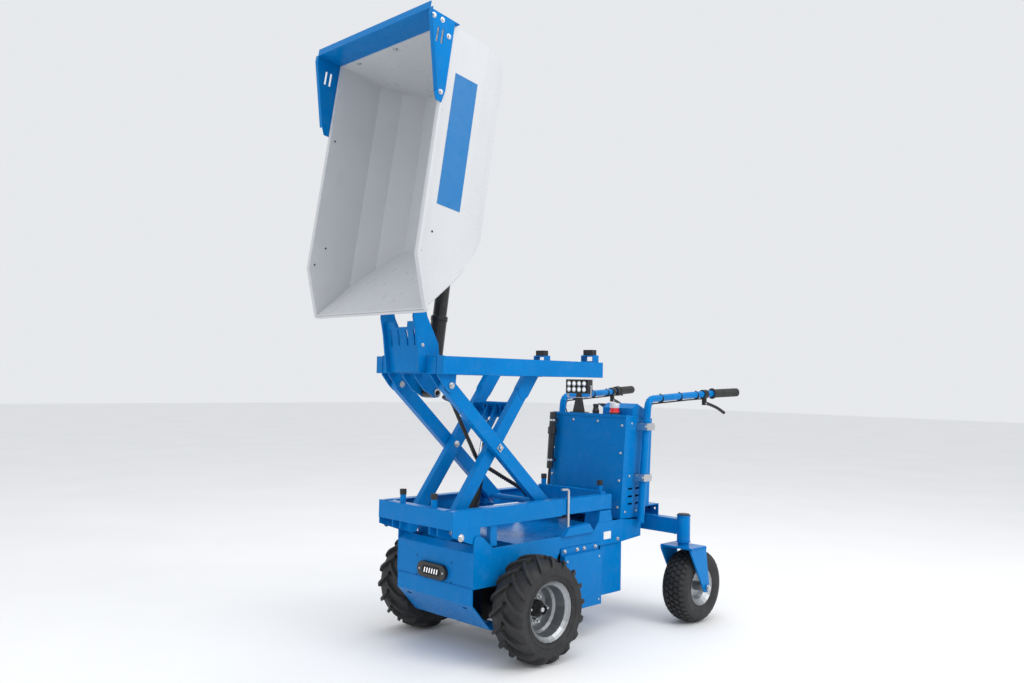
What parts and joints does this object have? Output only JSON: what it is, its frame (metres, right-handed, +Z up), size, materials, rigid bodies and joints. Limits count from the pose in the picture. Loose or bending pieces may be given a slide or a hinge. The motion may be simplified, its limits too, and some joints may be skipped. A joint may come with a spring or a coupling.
{
  "type": "site dumper",
  "caption": "Walk-behind electric site dumper: two drive wheels, rear swivel casters, scissor lift and a high-tip sheet bucket, raised and tipped.",
  "frame": {"origin": "on the ground at the middle of the machine's bounding box", "axes": "+X forward, +Y to the machine's left, +Z up"},
  "size_m": [2.1082, 0.98, 2.4127],
  "materials": {
    "blue_paint": "gloss",
    "white_paint": "gloss",
    "tyre_rubber": "matte",
    "rubber": "matte",
    "rim_paint": "satin",
    "black_plastic": "satin",
    "battery_case": "matte",
    "black_metal": "satin",
    "zinc": "satin",
    "chrome_rod": "polished",
    "red_lens": "gloss"
  },
  "bodies": {
    "chassis": {"chassis_tub": "blue_paint", "skid_pan": "blue_paint", "front_lamp": "black_plastic", "transaxle": "black_metal", "battery_block": "battery_case", "rear_box": "blue_paint", "rear_bracket": "blue_paint", "rear_beam": "blue_paint", "console_shell": "blue_paint", "work_light": "black_plastic", "beacon": "red_lens", "knob": "black_plastic", "accumulator": "black_plastic", "side_box_left": "blue_paint", "side_box_right": "blue_paint", "handlebar_left": "blue_paint", "handlebar_right": "blue_paint", "grip_left": "rubber", "grip_right": "rubber", "brake_lever_left": "black_metal", "brake_lever_right": "black_metal", "lower_clamp_left": "zinc", "lower_clamp_right": "zinc", "upper_clamp_left": "zinc", "upper_clamp_right": "zinc", "control_cable_left": "rubber", "control_cable_right": "rubber", "lock_pin": "zinc", "lift_frame": "blue_paint", "front_stop_left": "rubber", "front_stop_right": "rubber", "rear_stop_left": "rubber", "rear_stop_right": "rubber"},
    "drive_wheel_left": {"front_tyre_left": "tyre_rubber", "front_rim_left": "rim_paint"},
    "drive_wheel_right": {"front_tyre_right": "tyre_rubber", "front_rim_right": "rim_paint"},
    "caster_left": {"caster_fork_left": "blue_paint"},
    "caster_right": {"caster_fork_right": "blue_paint"},
    "caster_wheel_left": {"caster_tyre_left": "tyre_rubber", "caster_rim_left": "rim_paint"},
    "caster_wheel_right": {"caster_tyre_right": "tyre_rubber", "caster_rim_right": "rim_paint"},
    "inner_arm_pair": {"inner_arms": "blue_paint"},
    "outer_arm_pair": {"outer_arms": "blue_paint", "hydraulic_hose": "rubber"},
    "top_platform": {"platform": "blue_paint", "bucket_pad_left": "rubber", "bucket_pad_right": "rubber"},
    "tip_bucket": {"bucket": "white_paint", "hood": "blue_paint"},
    "lift_cylinder_barrel": {"lift_barrel": "black_metal"},
    "lift_cylinder_rod": {"lift_rod": "chrome_rod"},
    "tilt_cylinder_barrel": {"tilt_barrel": "black_metal"},
    "tilt_cylinder_stage": {"tilt_stage": "black_metal"},
    "tilt_cylinder_rod": {"tilt_rod": "chrome_rod"}
  },
  "joints": [
    {"name": "drive_wheel_left_spin", "type": "hinge", "parent": "chassis", "child": "drive_wheel_left", "pos_m": [0.41615, 0.348, 0.205], "axis": [0, 1, 0], "continuous": true},
    {"name": "drive_wheel_right_spin", "type": "hinge", "parent": "chassis", "child": "drive_wheel_right", "pos_m": [0.41615, -0.348, 0.205], "axis": [0, 1, 0], "continuous": true},
    {"name": "caster_left_swivel", "type": "hinge", "parent": "chassis", "child": "caster_left", "pos_m": [-0.49285, 0.4, 0.353], "axis": [0, 0, 1], "continuous": true},
    {"name": "caster_right_swivel", "type": "hinge", "parent": "chassis", "child": "caster_right", "pos_m": [-0.49285, -0.4, 0.353], "axis": [0, 0, 1], "continuous": true},
    {"name": "caster_wheel_left_spin", "type": "hinge", "parent": "caster_left", "child": "caster_wheel_left", "pos_m": [-0.56085, 0.4, 0.165], "axis": [0, 1, 0], "continuous": true},
    {"name": "caster_wheel_right_spin", "type": "hinge", "parent": "caster_right", "child": "caster_wheel_right", "pos_m": [-0.56085, -0.4, 0.165], "axis": [0, 1, 0], "continuous": true},
    {"name": "lift", "type": "hinge", "parent": "chassis", "child": "inner_arm_pair", "pos_m": [0.68726, 0, 0.49924], "axis": [0, 1, 0], "range_deg": [-41.18, 0]},
    {"name": "scissor_centre", "type": "hinge", "parent": "inner_arm_pair", "child": "outer_arm_pair", "pos_m": [0.45645, 0, 0.8146], "axis": [0, 1, 0], "range_deg": [0, 80.46]},
    {"name": "platform_hinge", "type": "hinge", "parent": "outer_arm_pair", "child": "top_platform", "pos_m": [0.73421, 0, 1.06295], "axis": [0, 1, 0], "range_deg": [-39.28, 0]},
    {"name": "bucket_tilt", "type": "hinge", "parent": "top_platform", "child": "tip_bucket", "pos_m": [0.83615, 0, 1.3722], "axis": [0, 1, 0], "range_deg": [-81.2, 0]},
    {"name": "lift_cylinder_pivot", "type": "hinge", "parent": "chassis", "child": "lift_cylinder_barrel", "pos_m": [0.47615, 0, 0.44], "axis": [0, 1, 0], "range_deg": [-49.37, 0]},
    {"name": "lift_cylinder_slide", "type": "slide", "parent": "lift_cylinder_barrel", "child": "lift_cylinder_rod", "axis": [-0.2087, 0, 0.978], "range_m": [-0.14542, 0]},
    {"name": "tilt_cylinder_pivot", "type": "hinge", "parent": "top_platform", "child": "tilt_cylinder_barrel", "pos_m": [0.69215, 0, 1.032], "axis": [0, 1, 0], "range_deg": [-55.41, 0]},
    {"name": "tilt_stage_slide", "type": "slide", "parent": "tilt_cylinder_barrel", "child": "tilt_cylinder_stage", "axis": [-0.13, 0, 0.9915], "range_m": [-0.21021, 0]},
    {"name": "tilt_rod_slide", "type": "slide", "parent": "tilt_cylinder_stage", "child": "tilt_cylinder_rod", "axis": [-0.13, 0, 0.9915], "range_m": [-0.21021, 0]}
  ],
  "couplings": [
    {"joint": "scissor_centre", "follows": "lift", "ratio": -1.9464},
    {"joint": "platform_hinge", "follows": "lift", "ratio": 0.94642},
    {"joint": "lift_cylinder_pivot", "follows": "lift", "ratio": 1.1914},
    {"joint": "lift_cylinder_slide", "follows": "lift", "m_per_rad": 0.20092},
    {"joint": "tilt_cylinder_pivot", "follows": "bucket_tilt", "ratio": 0.6787},
    {"joint": "tilt_stage_slide", "follows": "bucket_tilt", "m_per_rad": 0.14762},
    {"joint": "tilt_rod_slide", "follows": "bucket_tilt", "m_per_rad": 0.14762}
  ]
}
